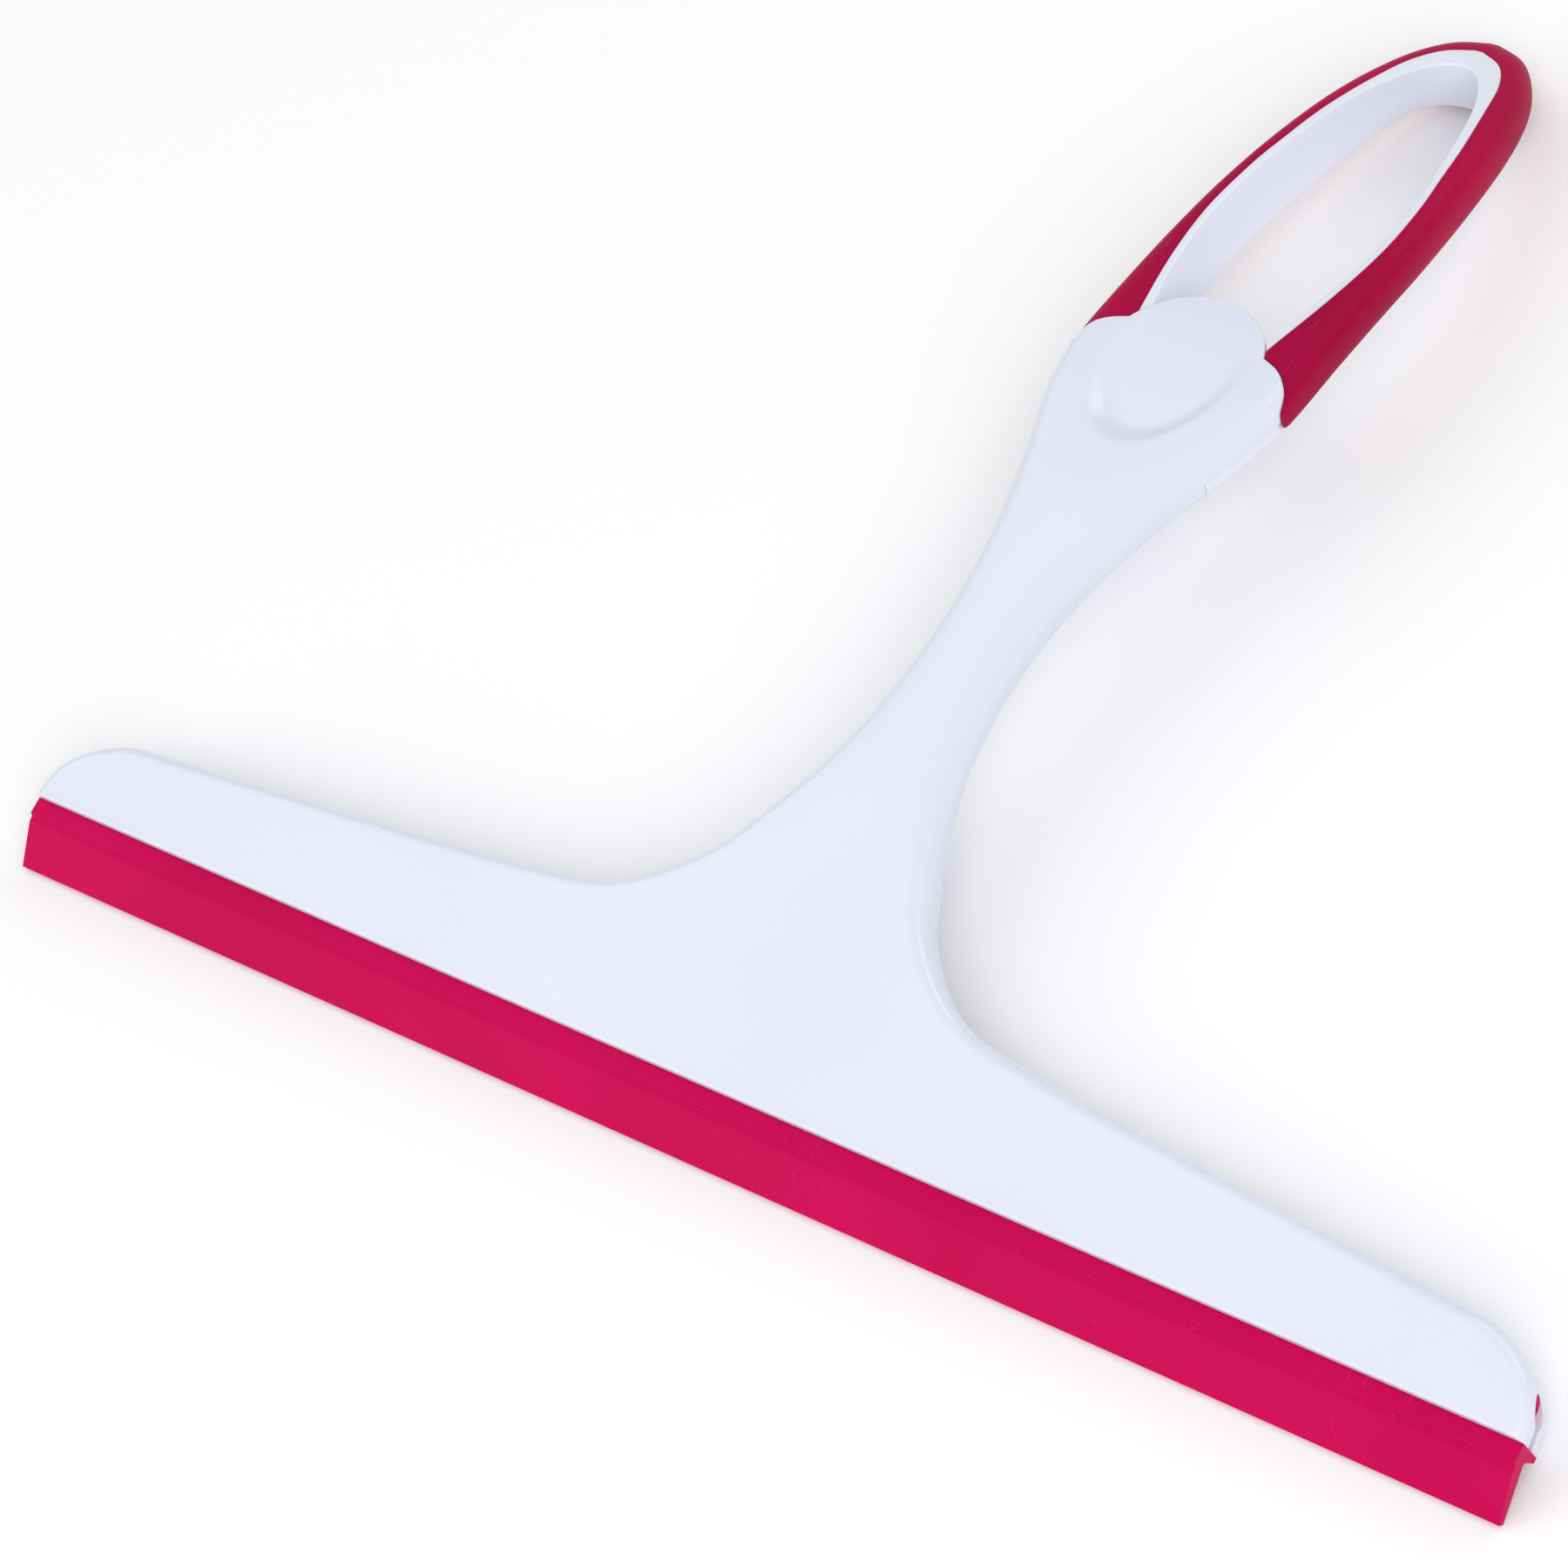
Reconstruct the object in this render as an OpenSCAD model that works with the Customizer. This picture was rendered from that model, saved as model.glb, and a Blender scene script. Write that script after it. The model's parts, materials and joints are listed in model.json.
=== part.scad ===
// Hand squeegee for windows: a T-shaped two-shell body with an arched neck,
// a closed hand loop in a soft sleeve, and a rubber blade that slides into the head.
//
// Working frame of the modules: X along the blade, s up the middle of the handle
// (0 at the head's lower edge), n across the thickness (0 on the parting surface,
// positive towards the face). Up to arch_start the handle is flat. Past it the middle
// bends back round one axis, so every surface of constant n is a cylinder.
// at_rest() then lays the whole squeegee on a table, face up.

/* [Head] */
// Length of the head and of its blade
head_length = 240; // [210:5:300]
// Height of the head at its ends
head_end_height = 12.2; // [11.5:0.1:14]
// Height of the head where it starts to sweep up into the neck
head_mid_height = 17.9; // [16.5:0.1:20]
// Depth of the face above the parting surface
face_depth = 4.4; // [4:0.1:5]
// Depth of the back below the parting surface
back_depth = 4.2; // [4:0.1:5]
// Thickness of the moulded skins
skin = 1.9; // [1.6:0.1:2]

/* [Neck and shoulders] */
// Half width of the neck where it is narrowest
neck_half = 6.8; // [6:0.1:8]
// Half width of the shoulders and of the loop
shoulder_half = 17.3; // [16.5:0.1:18]
// Radius of the arch that the handle follows
arch_radius = 320; // [290:10:400]
// Height of the tongue's round end, which covers the foot of the hand hole
tongue_top = 131.3; // [130.5:0.1:132]
// Depth of the thumb scoop
scoop_depth = 1.5; // [0.8:0.1:1.8]

/* [Hand loop] */
// Height of the loop's tip, measured along the handle
loop_tip = 201.5; // [199:0.5:206]
// Half width of the hand hole at the back
hole_half = 9.9; // [9:0.1:10.5]
// Half depth of the loop
loop_half_depth = 3.8; // [3.4:0.1:4.2]
// Thickness of the soft sleeve on the face, at the sides of the loop
sleeve_wall = 3.1; // [2.6:0.1:3.4]

/* [Blade] */
// Radius of the bead that holds the blade in its channel
bead_radius = 2; // [1.7:0.1:2.1]
// Thickness of the web between the bead and the shoulder
web_thickness = 1.8; // [1.4:0.1:2]
// Length of the lip from its bending line to the wiping edge
lip_length = 7.2; // [6.5:0.1:8.5]
// Backward lean of the lip
lip_lean = 27; // [22:1:32]
// Thickness of the lip at its root
lip_root = 2.4; // [2:0.1:2.4]
// Thickness of the wiping edge
lip_edge = 1; // [0.8:0.1:1.4]

/* [Hidden] */

white = [0.93, 0.94, 0.99];
rose = [0.86, 0.08, 0.35];

half_length = head_length / 2;
corner_run = 14;
arch_start = 20;
loop_middle = 160;
far = 40;
fine = 180;

// Channel for the blade, inside the head's lower edge. The bead and its web stop
// short of the blade's ends, so that they stay inside the head's rounded corners.
bead_height = 4.4;
bead_length = head_length - 4.4;
bead_clearance = 0.08;
jaw_top = 8;
seat_gap = 0.1;

// Shells
wall = 2;
cover_inset = 0.3;
cover_end = 104;
tongue_start = 101;
pin_radius = 1.5;
pin_clearance = 0.02;
pin_places = [[-64, 11], [-28, 13], [28, 13], [64, 11], [0, 40], [0, 62]];
tang_pin = 95;
boss_wall = 1;

// Blade: the shoulder that seats under the jaws, and the line that the lip bends on
shoulder_half_depth = 2.6;
shoulder_drop = 2.6;
shoulder_back_drop = 0.5;
bend_y = -2.5;
bend_z = 1.02;
nose_clearance = 0.07;

// ---------- curves ----------

// A smooth curve through hand-picked points, with steps stretches between neighbours
function curve(p, steps = 6) = concat(
    [for (i = [0 : len(p) - 2], k = [0 : steps - 1]) curve_point(p, i, k / steps)],
    [p[len(p) - 1]]
);
function curve_point(p, i, t) =
    let (last = len(p) - 1)
    let (a = p[max(i - 1, 0)])
    let (b = p[i])
    let (c = p[i + 1])
    let (d = p[min(i + 2, last)])
    0.5 * (2 * b + (c - a) * t + (2 * a - 5 * b + 4 * c - d) * t * t + (3 * b - a - 3 * c + d) * t * t * t);

// The part of a circle from one angle to another
function arc(centre, r, from, to, steps) =
    [for (k = [0 : steps]) centre + r * [cos(from + (to - from) * k / steps), sin(from + (to - from) * k / steps)]];

function tail(p) = [for (i = [1 : len(p) - 1]) p[i]];
function flipped(p) = [for (i = [len(p) - 1 : -1 : 0]) [-p[i][0], p[i][1]]];
function unit(v) = v / norm(v);

// Both halves of an outline that is symmetric about the middle; its ends stay apart
function both_halves(p) = concat(p, flipped(p));

// An anticlockwise closed outline moved inwards by d
function inset(p, d) = [
    for (i = [0 : len(p) - 1])
        let (before = p[(i + len(p) - 1) % len(p)])
        let (after = p[(i + 1) % len(p)])
        let (u = unit(p[i] - before))
        let (v = unit(after - p[i]))
        let (m = unit(u + v))
        p[i] + d * [-m[1], m[0]] / max(0.6, m * u)
];

// The same inset for the head's walls only: the outline runs on below the lower edge first
function inset_walls(p, d) = inset(concat([[half_length, -far / 2]], p, [[-half_length, -far / 2]]), d);

// Height along the handle to the flat plan of the head
function bent(s) = s < arch_start ? s : arch_start + arch_radius * sin((s - arch_start) / arch_radius * 180 / PI);
function head_plan(p) = [for (q = p) [q[0], bent(q[1])]];

// Height along the handle to the plan square to the loop's middle
loop_tilt = (loop_middle - arch_start) / arch_radius * 180 / PI;
function loop_plan(p) =
    [for (q = p) [q[0], arch_radius * sin((q[1] - loop_middle) / arch_radius * 180 / PI)]];

// ---------- outlines, right half from the bottom up ----------

tongue_radius = 11.75;
tongue_foot = tongue_top - tongue_radius;
notch = [10.3, tongue_foot + sqrt(tongue_radius * tongue_radius - 10.3 * 10.3)];
notch_angle = atan2(notch[1] - tongue_foot, notch[0]);

corner = [for (k = [0 : 8])
    [half_length - corner_run + corner_run * cos(k * 90 / 8), head_end_height * sin(k * 90 / 8)]];
neck_sweep = curve([
    [half_length - corner_run, head_end_height],
    [72, (head_end_height + head_mid_height) / 2],
    [42.5, head_mid_height],
    [28, 20.7],
    [18.2, 28.3],
    [13.4, 37],
    [9.4, 48],
    [7.3, 58.5],
    [neck_half, 70],
    [8.1, 83],
    [11.4, 97],
    [15.3, 109],
    [shoulder_half - 0.2, 118.5]
]);
shoulder_arc = curve([
    [shoulder_half - 0.2, 118.5],
    [16.3, 121.6],
    [13.8, 124.2],
    notch
], 4);
tongue_arc = arc([0, tongue_foot], tongue_radius, notch_angle, 90, 10);
body_half = concat(corner, tail(neck_sweep), tail(shoulder_arc), tail(tongue_arc));

// The face's outline: its tip is one point on the middle line
body_outline = concat(body_half, [for (i = [len(body_half) - 2 : -1 : 0]) [-body_half[i][0], body_half[i][1]]]);

loop_outer = both_halves(concat(
    [[12, 100]],
    curve([
        [15.3, 109],
        [shoulder_half - 0.2, 118.5],
        [shoulder_half, 132],
        [shoulder_half - 0.1, 146],
        [16.6, 159],
        [15.3, 172],
        [13.1, 184],
        [9.9, loop_tip - 8.2],
        [5.6, loop_tip - 2.2],
        [0.6, loop_tip]
    ])
));

side_half = shoulder_half - sleeve_wall;
core_outer = both_halves(curve([
    [8.6, 112],
    [9, 119],
    [10.3, 125],
    [12.7, 137],
    [side_half - 0.3, 148],
    [side_half - 0.3, 160],
    [12.7, 173],
    [10, 185],
    [5.8, 193.4],
    [0.6, 196.6]
], 4));

hole_back = both_halves(curve([
    [0.5, 125.5],
    [5.4, 126.6],
    [8.6, 132],
    [hole_half - 0.2, 141],
    [hole_half, 150],
    [hole_half - 0.2, 161],
    [9, 175],
    [8.2, 186],
    [7, 191.3],
    [4, 193.4],
    [0.5, 193.8]
], 4));

hole_front = both_halves(curve([
    [0.5, 122.8],
    [6, 123.6],
    [9.3, 127.5],
    [11.7, 138],
    [side_half - 1.4, 148],
    [side_half - 1.4, 160],
    [11.5, 173],
    [9, 184],
    [7.2, 189.6],
    [4, 194.2],
    [0.5, 195.4]
], 4));

// ---------- bodies of constant depth that follow the arch ----------

// Everything between two depths n, for the whole squeegee
module layer(from, to) {
    rotate([90, 0, 90])
        linear_extrude(head_length + 10, center = true)
            union() {
                translate([-far, from])
                    square([far + arch_start, to - from]);
                translate([arch_start, -arch_radius])
                    intersection() {
                        difference() {
                            circle(r = arch_radius + to, $fn = fine);
                            circle(r = arch_radius + from, $fn = fine);
                        }
                        translate([0, arch_radius * 0.6])
                            square([arch_radius, arch_radius]);
                    }
            }
}

// A flat outline given in x and s, raised square to the head
module head_prism(outline) {
    translate([0, 0, -far * 2])
        linear_extrude(far * 3)
            polygon(head_plan(outline));
}

// The same, raised square to the middle of the loop
module loop_prism(outline) {
    translate([0, arch_start, -arch_radius])
        rotate([-loop_tilt, 0, 0])
            translate([0, 0, arch_radius - far / 2])
                linear_extrude(far)
                    polygon(loop_plan(outline));
}

// The part of the squeegee between two heights along the handle
module stretch(from, to) {
    translate([-half_length - 5, bent(from), -far * 2])
        cube([head_length + 10, bent(to) - bent(from), far * 3]);
}

// Moves to a place on the parting surface, with Z square to it
module on_arch(x, s) {
    turn = max(0, s - arch_start) / arch_radius * 180 / PI;
    translate([x, min(s, arch_start), -arch_radius])
        rotate([-turn, 0, 0])
            translate([0, 0, arch_radius])
                children();
}

// ---------- rest position: face up, on the wiping edge and the back of the tip ----------

lip_way = [-cos(lip_lean), -sin(lip_lean)];
lip_up = [-sin(lip_lean), cos(lip_lean)];
bend = [bend_y, bend_z];
edge_back = bend + lip_length * lip_way - lip_edge / 2 * lip_up;
edge_front = bend + lip_length * lip_way + lip_edge / 2 * lip_up;

// A point of the loop's end wall, at depth n, in y and z of the head
function tip_point(n) =
    let (v = arch_radius * sin((loop_tip - loop_middle) / arch_radius * 180 / PI))
    let (w = sqrt((arch_radius + n) * (arch_radius + n) - v * v))
    [arch_start + v * cos(loop_tilt) + w * sin(loop_tilt), -arch_radius - v * sin(loop_tilt) + w * cos(loop_tilt)];
tip_back = tip_point(-loop_half_depth);
tip_front = tip_point(loop_half_depth);

rest_tilt = atan2(edge_back[1] - tip_back[1], tip_back[0] - edge_back[0]);
function laid_y(p) = p[0] * cos(rest_tilt) - p[1] * sin(rest_tilt);
function laid_z(p) = p[0] * sin(rest_tilt) + p[1] * cos(rest_tilt);
low_y = min(laid_y(edge_back), laid_y(edge_front));
high_y = max(laid_y(tip_back), laid_y(tip_front));

module at_rest() {
    translate([0, -(low_y + high_y) / 2, -laid_z(edge_back)])
        rotate([rest_tilt, 0, 0])
            children();
}

// ---------- sub-parts ----------

// The slot along the head's lower edge: a round channel for the bead and a mouth for the web
module blade_channel() {
    translate([0, bead_height, 0])
        rotate([0, 90, 0])
            cylinder(r = bead_radius + bead_clearance, h = head_length + 2, center = true, $fn = 48);
    translate([-half_length - 1, -1, -web_thickness / 2 - bead_clearance])
        cube([head_length + 2, bead_height + 1, web_thickness + 2 * bead_clearance]);
}

// The thumb scoop: a tilted disc's edge pressed into the tongue, deepest at its foot
module thumb_scoop() {
    on_arch(0, 104)
        translate([0, 0, face_depth - scoop_depth])
            rotate([4.5, 0, 0])
                translate([0, 11, 0])
                    cylinder(r = 11, h = 8, $fn = 96);
}

module front_shell() {
    color(white)
        at_rest() {
            difference() {
                intersection() {
                    head_prism(body_outline);
                    layer(0, face_depth);
                }
                intersection() {
                    head_prism(inset_walls(body_outline, wall));
                    layer(-1, face_depth - skin);
                    stretch(jaw_top, tongue_start);
                }
                blade_channel();
                thumb_scoop();
            }
            for (p = pin_places)
                on_arch(p[0], p[1])
                    translate([0, 0, -back_depth + skin + 0.1])
                        cylinder(r = pin_radius, h = face_depth + back_depth - 2 * skin + 0.4, $fn = 32);
            on_arch(0, tang_pin)
                translate([0, 0, -back_depth + skin - 0.7])
                    cylinder(r = pin_radius, h = face_depth + back_depth - 2 * skin + 1.2, $fn = 32);
        }
}

module rear_cover() {
    socket = pin_radius + pin_clearance;
    color(white)
        at_rest()
            difference() {
                union() {
                    difference() {
                        intersection() {
                            head_prism(inset_walls(body_outline, cover_inset));
                            layer(-back_depth, 0);
                            stretch(0, cover_end);
                        }
                        intersection() {
                            head_prism(inset_walls(body_outline, wall));
                            layer(-back_depth + skin, 1);
                            stretch(jaw_top, cover_end + 1);
                        }
                    }
                    for (p = pin_places)
                        on_arch(p[0], p[1])
                            translate([0, 0, -back_depth + skin - 0.3])
                                cylinder(r = socket + boss_wall, h = 2, $fn = 32);
                }
                blade_channel();
                for (p = pin_places)
                    on_arch(p[0], p[1])
                        translate([0, 0, -back_depth + skin + 0.05])
                            cylinder(r = socket, h = 4, $fn = 32);
                on_arch(0, tang_pin)
                    translate([0, 0, -back_depth + skin - 0.75])
                        cylinder(r = socket, h = 4, $fn = 32);
            }
}

// The hand hole: it narrows from the face to the back
module hand_hole() {
    front = loop_plan(hole_front);
    back = loop_plan(hole_back);
    count = len(front);
    reach = loop_half_depth + 8;
    face_slope = (front - back) / (2 * loop_half_depth);
    low = back - face_slope * (reach - loop_half_depth);
    high = front + face_slope * (reach - loop_half_depth);
    points = concat(
        [for (p = low) [p[0], p[1], -reach]],
        [for (p = high) [p[0], p[1], reach]]
    );
    sides = [for (i = [0 : count - 1]) [i, (i + 1) % count, count + (i + 1) % count, count + i]];
    translate([0, arch_start, -arch_radius])
        rotate([-loop_tilt, 0, 0])
            translate([0, 0, arch_radius])
                polyhedron(
                    points = points,
                    faces = concat(
                        [[for (i = [0 : count - 1]) i]],
                        [for (f = sides) [f[3], f[2], f[1], f[0]]],
                        [[for (i = [count - 1 : -1 : 0]) count + i]]
                    )
                );
}

module loop_core() {
    tang = [[-6, 104.5], [-5, 100], [-4.2, 95], [-4.2, 88], [4.2, 88], [4.2, 95], [5, 100], [6, 104.5]];
    color(white)
        at_rest()
            difference() {
                union() {
                    difference() {
                        intersection() {
                            loop_prism(core_outer);
                            layer(-loop_half_depth, loop_half_depth);
                        }
                        intersection() {
                            head_prism(inset(body_outline, -0.1));
                            layer(-0.1, far);
                        }
                    }
                    intersection() {
                        head_prism(inset(body_outline, cover_inset));
                        layer(-loop_half_depth, -0.1);
                        stretch(cover_end + 0.1, tongue_top);
                    }
                    intersection() {
                        head_prism(tang);
                        layer(-back_depth + skin + 0.1, -0.1);
                    }
                }
                hand_hole();
                on_arch(0, tang_pin)
                    cylinder(r = pin_radius + 0.05, h = 20, center = true, $fn = 32);
            }
}

module grip_sleeve() {
    color(rose)
        at_rest()
            difference() {
                intersection() {
                    loop_prism(loop_outer);
                    layer(-loop_half_depth, loop_half_depth);
                }
                loop_prism(core_outer);
                head_prism(inset(body_outline, -0.1));
            }
}

module blade_root() {
    color(rose)
        at_rest()
            difference() {
                union() {
                    translate([0, bead_height, 0])
                        rotate([0, 90, 0])
                            cylinder(r = bead_radius, h = bead_length, center = true, $fn = 48);
                    translate([-bead_length / 2, -seat_gap - 0.4, -web_thickness / 2])
                        cube([bead_length, bead_height + seat_gap + 0.4, web_thickness]);
                    rotate([90, 0, 90])
                        linear_extrude(head_length, center = true)
                            polygon([
                                [-seat_gap, shoulder_half_depth],
                                [-shoulder_drop, shoulder_half_depth],
                                [-shoulder_back_drop, -shoulder_half_depth],
                                [-seat_gap, -shoulder_half_depth]
                            ]);
                }
                translate([0, bend_y, bend_z])
                    rotate([0, 90, 0])
                        cylinder(r = lip_root / 2 + nose_clearance, h = head_length + 2, center = true, $fn = 48);
            }
}

module blade_lip() {
    edge = bend + lip_length * lip_way;
    // The flanks start a little inside the nose, so that they meet it at a clean angle
    flank = lip_root / 2 - 0.06;
    color(rose)
        at_rest() {
            translate([0, bend_y, bend_z])
                rotate([0, 90, 0])
                    cylinder(r = lip_root / 2, h = head_length, center = true, $fn = 48);
            rotate([90, 0, 90])
                linear_extrude(head_length, center = true)
                    polygon([
                        bend + flank * lip_up,
                        edge + lip_edge / 2 * lip_up,
                        edge - lip_edge / 2 * lip_up,
                        bend - flank * lip_up
                    ]);
        }
}

front_shell();
rear_cover();
loop_core();
grip_sleeve();
blade_root();
blade_lip();
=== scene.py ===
import json
import math

import bmesh
import bpy
import numpy as np
from mathutils import Matrix, Vector


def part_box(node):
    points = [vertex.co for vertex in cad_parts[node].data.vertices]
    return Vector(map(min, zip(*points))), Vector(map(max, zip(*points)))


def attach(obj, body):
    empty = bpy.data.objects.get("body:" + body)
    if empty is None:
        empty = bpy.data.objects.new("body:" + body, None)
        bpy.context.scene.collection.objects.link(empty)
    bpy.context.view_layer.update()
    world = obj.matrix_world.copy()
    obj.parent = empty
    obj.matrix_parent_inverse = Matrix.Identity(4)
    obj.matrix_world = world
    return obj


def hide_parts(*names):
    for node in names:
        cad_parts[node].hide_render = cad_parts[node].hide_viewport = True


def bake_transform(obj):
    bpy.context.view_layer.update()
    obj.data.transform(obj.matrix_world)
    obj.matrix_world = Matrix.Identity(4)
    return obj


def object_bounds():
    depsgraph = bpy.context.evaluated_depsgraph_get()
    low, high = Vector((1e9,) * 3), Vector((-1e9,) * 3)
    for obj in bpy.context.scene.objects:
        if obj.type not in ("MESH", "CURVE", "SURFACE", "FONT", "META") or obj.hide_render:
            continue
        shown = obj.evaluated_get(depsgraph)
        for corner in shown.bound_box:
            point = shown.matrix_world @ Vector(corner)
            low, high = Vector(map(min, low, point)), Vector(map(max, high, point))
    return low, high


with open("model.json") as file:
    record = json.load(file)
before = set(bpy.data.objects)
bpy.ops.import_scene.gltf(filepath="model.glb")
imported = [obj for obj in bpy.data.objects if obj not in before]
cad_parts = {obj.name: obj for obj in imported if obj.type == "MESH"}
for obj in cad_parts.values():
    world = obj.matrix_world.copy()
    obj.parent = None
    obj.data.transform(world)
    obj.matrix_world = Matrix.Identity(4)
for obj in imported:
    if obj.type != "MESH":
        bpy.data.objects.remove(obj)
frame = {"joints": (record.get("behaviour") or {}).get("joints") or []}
cad_low, cad_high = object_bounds()


# ---------------------------------------------------------------- front shell
# The face half of the body, injection moulded in glossy white polypropylene.
# Every moulding is drawn flat in millimetres, x along the blade, s up the handle
# and n out of the parting plane, then bent to the handle's arch and laid at rest.

MM = 0.001
half_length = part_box("front_shell")[1].x / MM
arch_start, arch_radius = 20.0, 320.0
rest_tilt = math.radians(14.344)
bend_s, bend_n = -2.5, 1.02
face_depth = 4.4
edge_round, end_round, tongue_round, jaw_round = 2.4, 1.4, 0.5, 0.45
head_end, head_mid, corner_run = 12.2, 17.9, 14.0
neck_half, shoulder_half, shoulder_end = 6.8, 17.3, 117.2
shoulder_x = shoulder_half - 0.35
tongue_top, tongue_radius = 131.3, 11.75
notch_x = 10.9
bead_s, channel_round, mouth_half = 4.4, 2.08, 0.98
scoop_middle, scoop_half, scoop_run = 119.5, 10.8, 16.8
scoop_depth, scoop_soft = 1.75, 0.27
scoop_slope = math.tan(math.radians(4.2))
face_crown, head_crown = 1.4, 0.25
round_steps, curve_steps = 9, 24


def smooth_line(knots, steps=curve_steps):
    """A Catmull-Rom curve through given knots."""
    p = np.array([knots[0], *knots, knots[-1]], float)
    out = []
    for i in range(1, len(p) - 2):
        a, b, c, d = p[i - 1], p[i], p[i + 1], p[i + 2]
        for t in np.arange(steps) / steps:
            out.append(0.5 * (2 * b + (c - a) * t + (2 * a - 5 * b + 4 * c - d) * t ** 2
                              + (3 * b - a - 3 * c + d) * t ** 3))
    return np.array([*out, p[-1]])


def respaced(line, count):
    """The same line with count evenly spaced points."""
    run = np.concatenate([[0], np.cumsum(np.linalg.norm(np.diff(line, axis=0), axis=1))])
    at = np.linspace(0, run[-1], count)
    return np.stack([np.interp(at, run, line[:, k]) for k in range(2)], axis=1)


def outward(line, ends):
    """Unit normals on the outer side of a half outline that runs up the right."""
    before, after = ends
    full = np.vstack([before, line, after])
    steps = np.diff(full, axis=0)
    steps /= np.linalg.norm(steps, axis=1)[:, None]
    mean = steps[:-1] + steps[1:]
    mean /= np.linalg.norm(mean, axis=1)[:, None]
    share = np.maximum(0.6, (mean * steps[1:]).sum(axis=1))
    return np.stack([mean[:, 1], -mean[:, 0]], axis=1) / share[:, None]


def smoothstep(low, high, value):
    t = np.clip((value - low) / (high - low), 0, 1)
    return t * t * (3 - 2 * t)


def new_mesh(name, points, faces):
    """A closed mesh object from millimetre points, with doubles merged."""
    mesh = bpy.data.meshes.new(name)
    mesh.from_pydata((np.array(points, float) * MM).tolist(), [], faces)
    work = bmesh.new()
    work.from_mesh(mesh)
    bmesh.ops.remove_doubles(work, verts=work.verts, dist=0.00001)
    bmesh.ops.dissolve_degenerate(work, edges=work.edges, dist=0.000002)
    bmesh.ops.recalc_face_normals(work, faces=work.faces)
    work.to_mesh(mesh)
    work.free()
    piece = bpy.data.objects.new(name, mesh)
    bpy.context.scene.collection.objects.link(piece)
    return piece


def skin_grid(top, bottom, tip):
    """Faces of a closed slab from two grids of rows; tip leaves the last end open to merge."""
    rows, cols = top.shape[:2]
    points = np.vstack([top.reshape(-1, 3), bottom.reshape(-1, 3)])
    base = rows * cols
    faces = []
    for r in range(rows - 1):
        for c in range(cols - 1):
            a = r * cols + c
            faces.append((a, a + 1, a + cols + 1, a + cols))
            faces.append((base + a, base + a + cols, base + a + cols + 1, base + a + 1))
        for c in (0, cols - 1):
            a = r * cols + c
            faces.append((a, a + cols, base + a + cols, base + a))
    for r in (0,) if tip else (0, rows - 1):
        for c in range(cols - 1):
            a = r * cols + c
            faces.append((a, a + 1, base + a + 1, base + a))
    return points, faces


def moulded_half(name, outline, normals, height, rounding, jaw, top_of, under_of, side, tip, across=40):
    """One half of the body: rounded edges, a crowned face and a flat or grooved underside."""
    turn = np.linspace(0, math.pi / 2, round_steps)
    radius = np.broadcast_to(rounding, len(outline))[:, None]
    inset, drop = radius * (1 - np.cos(turn)), radius * (1 - np.sin(turn))
    rings = outline[:, None, :] - inset[:, :, None] * normals[:, None, :]
    rings[0, :, 1] = outline[0, 1]
    if not tip:
        rings[-1, :, 0] = outline[-1, 0] - inset[-1]
        rings[-1, :, 1] = outline[-1, 1]
    rings[:, :, 0] = np.maximum(rings[:, :, 0], 0)
    share = np.linspace(1, 0, across + 1)[1:]
    inner = np.stack([rings[:, -1:, 0] * share, np.repeat(rings[:, -1:, 1], across, axis=1)], axis=2)
    right = np.concatenate([rings, inner], axis=1)
    fall = np.hstack([drop, np.zeros((len(outline), across))])
    s = np.clip(right[:, :, 1], 0, None)
    jaw_fall = jaw * (1 - np.sqrt(np.clip(1 - np.clip(1 - s / jaw, 0, 1) ** 2, 0, 1))) if jaw else 0 * s
    n = height - np.hypot(fall, jaw_fall) - top_of(right[:, :, 0], s)
    top = np.dstack([right, n])
    reach = right[0, :, 0] / outline[0, 0]
    low_x = outline[:, 0][:, None] * reach[None, :]
    low_s = np.repeat(outline[:, 1][:, None], len(reach), axis=1)
    bottom = np.dstack([low_x, low_s, under_of(low_s)])
    grids = []
    for grid in (top, bottom):
        mirrored = grid[:, -2::-1].copy()
        mirrored[:, :, 0] *= -1
        whole = np.concatenate([grid, mirrored], axis=1)
        whole[:, :, 2] *= side
        grids.append(whole)
    return new_mesh(name, *skin_grid(*grids, tip))


def channel(s):
    """Height of the groove that holds the blade's bead, above the parting plane."""
    bore = np.sqrt(np.clip(channel_round ** 2 - (s - bead_s) ** 2, 0, None))
    return np.where(s < bead_s, np.maximum(bore, mouth_half), bore)


# The half outline from the jaw's corner up to the round end of the tongue
jaw_rows = jaw_round * (1 - np.cos(np.linspace(0, math.pi / 2, 7)))
mouth_turn = math.pi - math.asin(mouth_half / channel_round)
groove_rows = bead_s + channel_round * np.cos(np.linspace(mouth_turn, 0, 22))
high_rows = head_end * np.sin(np.linspace(math.asin(6.9 / head_end), math.pi / 2, 16))
corner_s = np.concatenate([jaw_rows, [1.8], groove_rows, high_rows])
corner_x = half_length - corner_run + corner_run * np.sqrt(np.clip(1 - (corner_s / head_end) ** 2, 0, 1))
corner = np.stack([corner_x, corner_s], axis=1)
neck_sweep = smooth_line([
    (half_length - corner_run, head_end), (72, (head_end + head_mid) / 2), (42.5, head_mid), (28, 20.7),
    (18.2, 28.3), (13.4, 37), (9.4, 48), (7.3, 58.5), (neck_half, 70), (8.1, 83), (11.4, 97), (15.3, 109),
    (shoulder_x, shoulder_end)])
tongue_foot = tongue_top - tongue_radius
notch = (notch_x, tongue_foot + math.sqrt(tongue_radius ** 2 - notch_x ** 2))
shoulder_arc = smooth_line([(shoulder_x, shoulder_end), (16.3, 120.2), (13.9, 122.7), notch])
tip_turn = np.linspace(math.atan2(notch[1] - tongue_foot, notch_x), math.pi / 2, 34)
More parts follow.
